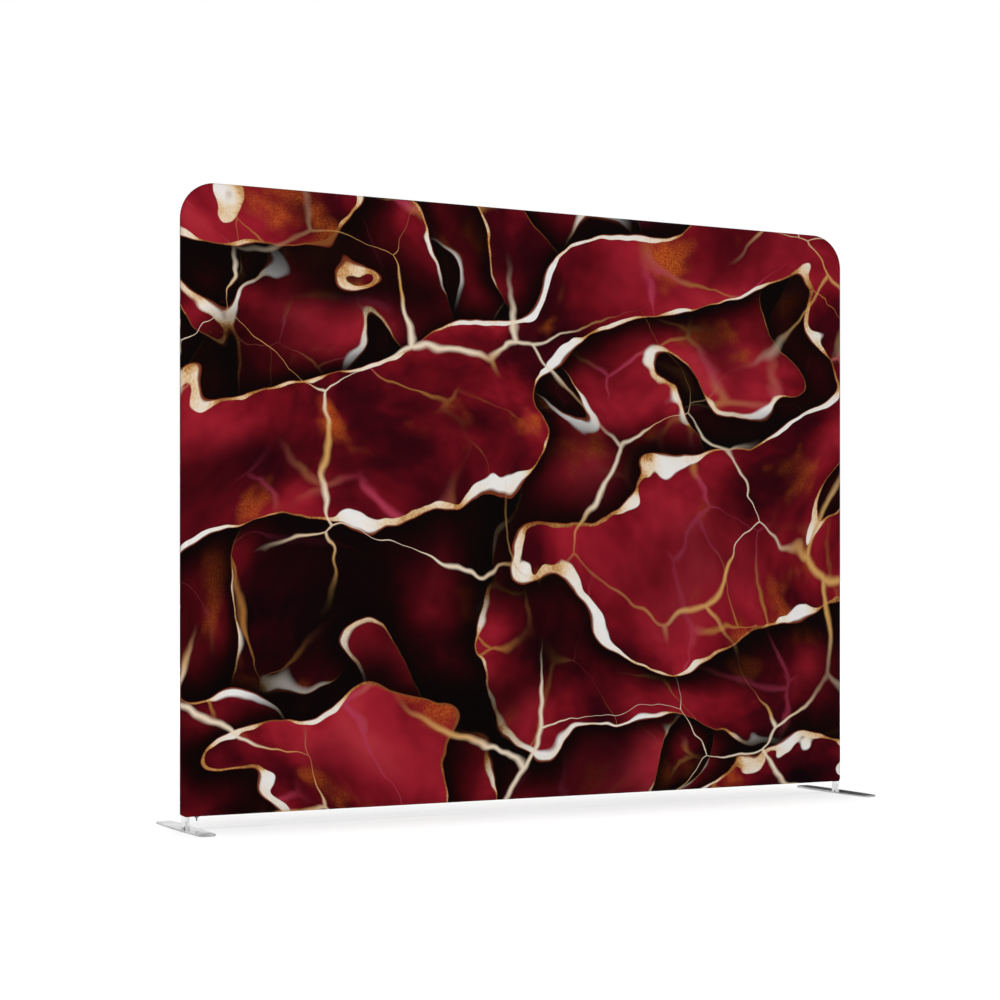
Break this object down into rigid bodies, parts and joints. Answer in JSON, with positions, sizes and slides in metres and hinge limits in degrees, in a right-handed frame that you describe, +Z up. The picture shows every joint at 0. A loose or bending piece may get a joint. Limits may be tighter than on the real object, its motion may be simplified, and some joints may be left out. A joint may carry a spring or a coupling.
{
  "type": "fabric room divider",
  "caption": "Free-standing room divider: a zipped, printed stretch-fabric cover over a take-down tube frame with round top corners, on two flat crosswise metal feet.",
  "frame": {"origin": "on the floor, midway between the two feet, in the plane of the frame", "axes": "+X along the width towards the right foot, +Y to the back, +Z up"},
  "size_m": [2.5318, 0.42, 2],
  "materials": {
    "printed_fabric": "matte",
    "zip_tape": "matte",
    "zip_coil": "satin",
    "slider_metal": "satin",
    "zip_metal": "satin",
    "foot_steel": "polished",
    "stub_steel": "satin",
    "leg_metal": "polished",
    "tube_metal": "satin",
    "inner_metal": "satin",
    "rivet_metal": "satin",
    "button_steel": "polished",
    "spring_steel": "satin",
    "screw_steel": "satin",
    "saddle_plastic": "matte"
  },
  "bodies": {
    "frame": {"foot_plate_left": "foot_steel", "foot_stub_left": "stub_steel", "leg_sleeve_left": "leg_metal", "upright_lower_left": "tube_metal", "upright_upper_left": "tube_metal", "elbow_left": "tube_metal", "top_tube_left": "tube_metal", "bottom_tube_left": "tube_metal", "upright_connector_left": "inner_metal", "elbow_spigots_left": "inner_metal", "bottom_spigot_left": "inner_metal", "foot_plate_right": "foot_steel", "foot_stub_right": "stub_steel", "leg_sleeve_right": "leg_metal", "upright_lower_right": "tube_metal", "upright_upper_right": "tube_metal", "elbow_right": "tube_metal", "top_tube_right": "tube_metal", "bottom_tube_right": "tube_metal", "upright_connector_right": "inner_metal", "elbow_spigots_right": "inner_metal", "bottom_spigot_right": "inner_metal", "prop_lower": "tube_metal", "prop_upper": "tube_metal", "top_connector": "inner_metal", "bottom_connector": "inner_metal", "prop_connector": "inner_metal", "prop_saddle_bottom": "saddle_plastic", "prop_saddle_top": "saddle_plastic", "snap_springs": "spring_steel", "connector_rivets": "rivet_metal", "foot_screws": "screw_steel", "front_panel": "printed_fabric", "back_panel": "printed_fabric", "zip_tape_front": "zip_tape", "zip_tape_back": "zip_tape", "zip_coil_front": "zip_coil", "zip_coil_back": "zip_coil", "zip_bottom_stop": "zip_metal"},
    "foot_button_left": {"foot_button_left": "button_steel"},
    "upright_button_left": {"upright_button_left": "button_steel"},
    "elbow_side_button_left": {"elbow_side_button_left": "button_steel"},
    "elbow_top_button_left": {"elbow_top_button_left": "button_steel"},
    "bottom_end_button_left": {"bottom_end_button_left": "button_steel"},
    "foot_button_right": {"foot_button_right": "button_steel"},
    "upright_button_right": {"upright_button_right": "button_steel"},
    "elbow_side_button_right": {"elbow_side_button_right": "button_steel"},
    "elbow_top_button_right": {"elbow_top_button_right": "button_steel"},
    "bottom_end_button_right": {"bottom_end_button_right": "button_steel"},
    "top_button": {"top_button": "button_steel"},
    "bottom_button": {"bottom_button": "button_steel"},
    "prop_button": {"prop_button": "button_steel"},
    "zip_slider": {"zip_slider": "slider_metal"},
    "zip_pull": {"zip_pull": "slider_metal"}
  },
  "joints": [
    {"name": "foot_button_left_press", "type": "slide", "parent": "frame", "child": "foot_button_left", "axis": [0, 1, 0], "range_m": [0, 0.0043], "stiffness_N_per_m": 2500, "springref_m": -0.002, "deforming": ["snap_springs"]},
    {"name": "upright_button_left_press", "type": "slide", "parent": "frame", "child": "upright_button_left", "axis": [-1, 0, 0], "range_m": [0, 0.0043], "stiffness_N_per_m": 2500, "springref_m": -0.002, "deforming": ["snap_springs"]},
    {"name": "elbow_side_button_left_press", "type": "slide", "parent": "frame", "child": "elbow_side_button_left", "axis": [-1, 0, 0], "range_m": [0, 0.0043], "stiffness_N_per_m": 2500, "springref_m": -0.002, "deforming": ["snap_springs"]},
    {"name": "elbow_top_button_left_press", "type": "slide", "parent": "frame", "child": "elbow_top_button_left", "axis": [0, 0, 1], "range_m": [0, 0.0043], "stiffness_N_per_m": 2500, "springref_m": -0.002, "deforming": ["snap_springs"]},
    {"name": "bottom_end_button_left_press", "type": "slide", "parent": "frame", "child": "bottom_end_button_left", "axis": [0, 0, -1], "range_m": [0, 0.0043], "stiffness_N_per_m": 2500, "springref_m": -0.002, "deforming": ["snap_springs"]},
    {"name": "foot_button_right_press", "type": "slide", "parent": "frame", "child": "foot_button_right", "axis": [0, 1, 0], "range_m": [0, 0.0043], "stiffness_N_per_m": 2500, "springref_m": -0.002, "deforming": ["snap_springs"]},
    {"name": "upright_button_right_press", "type": "slide", "parent": "frame", "child": "upright_button_right", "axis": [1, 0, 0], "range_m": [0, 0.0043], "stiffness_N_per_m": 2500, "springref_m": -0.002, "deforming": ["snap_springs"]},
    {"name": "elbow_side_button_right_press", "type": "slide", "parent": "frame", "child": "elbow_side_button_right", "axis": [1, 0, 0], "range_m": [0, 0.0043], "stiffness_N_per_m": 2500, "springref_m": -0.002, "deforming": ["snap_springs"]},
    {"name": "elbow_top_button_right_press", "type": "slide", "parent": "frame", "child": "elbow_top_button_right", "axis": [0, 0, 1], "range_m": [0, 0.0043], "stiffness_N_per_m": 2500, "springref_m": -0.002, "deforming": ["snap_springs"]},
    {"name": "bottom_end_button_right_press", "type": "slide", "parent": "frame", "child": "bottom_end_button_right", "axis": [0, 0, -1], "range_m": [0, 0.0043], "stiffness_N_per_m": 2500, "springref_m": -0.002, "deforming": ["snap_springs"]},
    {"name": "top_button_press", "type": "slide", "parent": "frame", "child": "top_button", "axis": [0, 0, 1], "range_m": [0, 0.0043], "stiffness_N_per_m": 2500, "springref_m": -0.002, "deforming": ["snap_springs"]},
    {"name": "bottom_button_press", "type": "slide", "parent": "frame", "child": "bottom_button", "axis": [0, 0, -1], "range_m": [0, 0.0043], "stiffness_N_per_m": 2500, "springref_m": -0.002, "deforming": ["snap_springs"]},
    {"name": "prop_button_press", "type": "slide", "parent": "frame", "child": "prop_button", "axis": [-1, 0, 0], "range_m": [0, 0.0043], "stiffness_N_per_m": 2500, "springref_m": -0.002, "deforming": ["snap_springs"]},
    {"name": "zip_slide", "type": "slide", "parent": "frame", "child": "zip_slider", "axis": [1, 0, 0], "range_m": [0, 2.386], "deforming": ["zip_coil_front", "zip_coil_back"]},
    {"name": "zip_pull_swing", "type": "hinge", "parent": "zip_slider", "child": "zip_pull", "pos_m": [-1.197, 0, 0.0358], "axis": [0, 1, 0], "range_deg": [-90, 90]}
  ]
}
